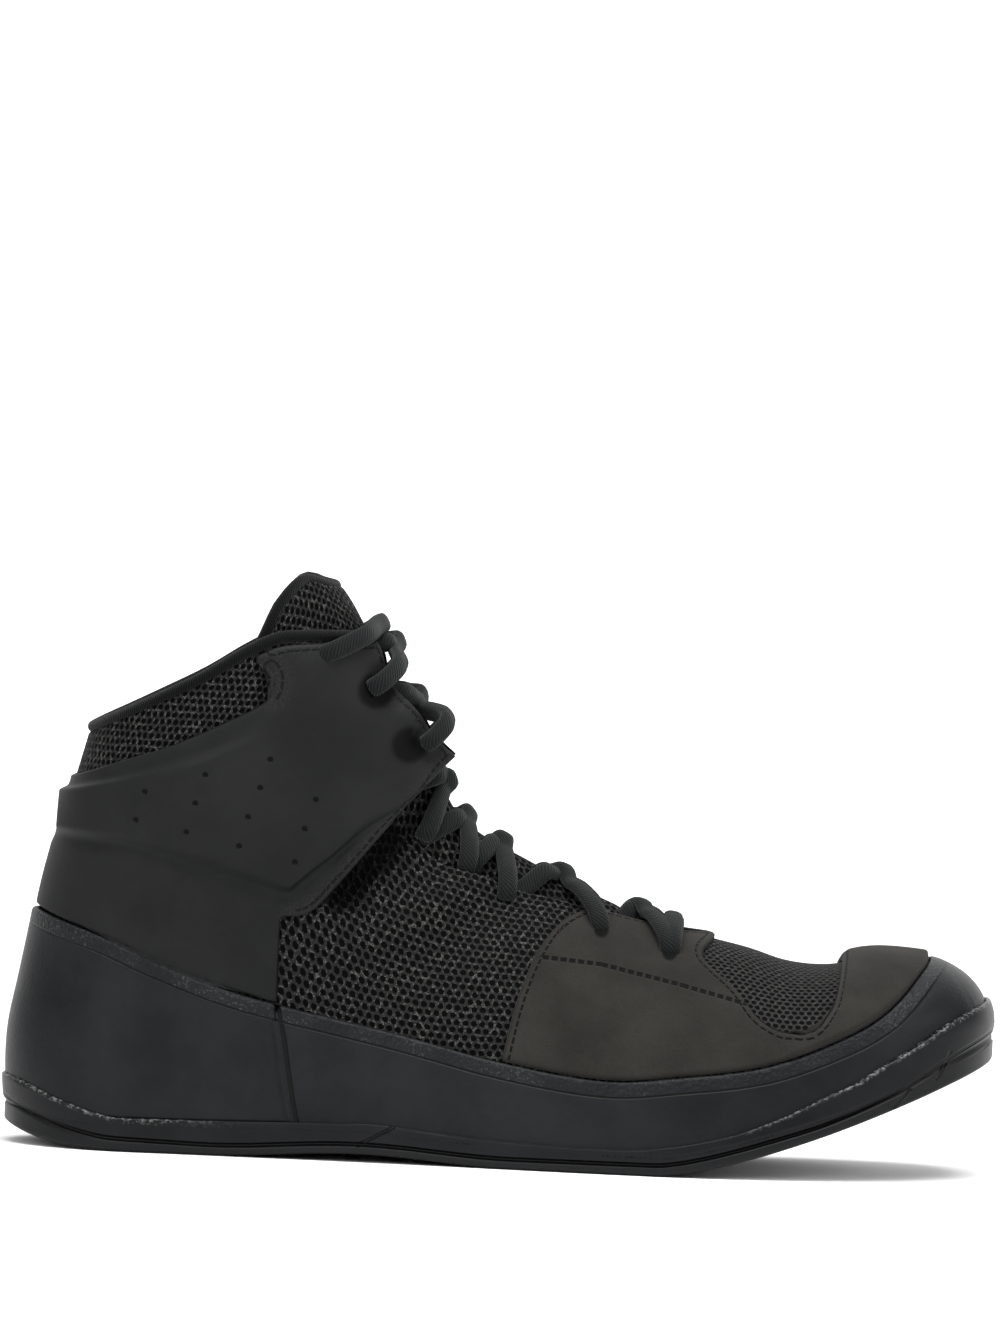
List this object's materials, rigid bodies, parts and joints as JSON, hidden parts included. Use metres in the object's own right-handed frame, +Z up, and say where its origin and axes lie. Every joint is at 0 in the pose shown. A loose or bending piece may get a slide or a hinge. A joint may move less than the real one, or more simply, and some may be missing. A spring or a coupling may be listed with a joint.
{
  "type": "wrestling shoe",
  "caption": "High-top wrestling shoe with a mesh upper, a synthetic ankle wing, a brushed toe overlay, a grained foot band, crossed laces and a thin rubber sole with a long toe spring.",
  "frame": {"origin": "on the floor, under the middle of the shoe's bounding box", "axes": "+X from heel to toe, +Y to the wearer's left, which is the inner side of this right shoe, +Z up"},
  "size_m": [0.2896, 0.1014, 0.1704],
  "materials": {
    "outsole": "matt black moulded rubber",
    "insole": "knit-topped foam",
    "upper": "open black mesh over a lining",
    "tongue": "padded black mesh",
    "foot_band": "grained blue-black synthetic, low sheen",
    "toe_overlay": "brushed brown-black nubuck",
    "ankle_wing": "smooth matt synthetic",
    "binding": "rolled fabric edge",
    "lace": "flat woven cord"
  },
  "bodies": {
    "root": {"outsole": "outsole", "insole": "insole", "upper": "upper", "tongue": "tongue", "heel_counter": "foot_band", "foot_band": "foot_band", "toe_overlay": "toe_overlay", "ankle_wing": "ankle_wing", "collar_binding": "binding", "lace_instep": "lace", "lace_ankle": "lace"}
  },
  "joints": []
}
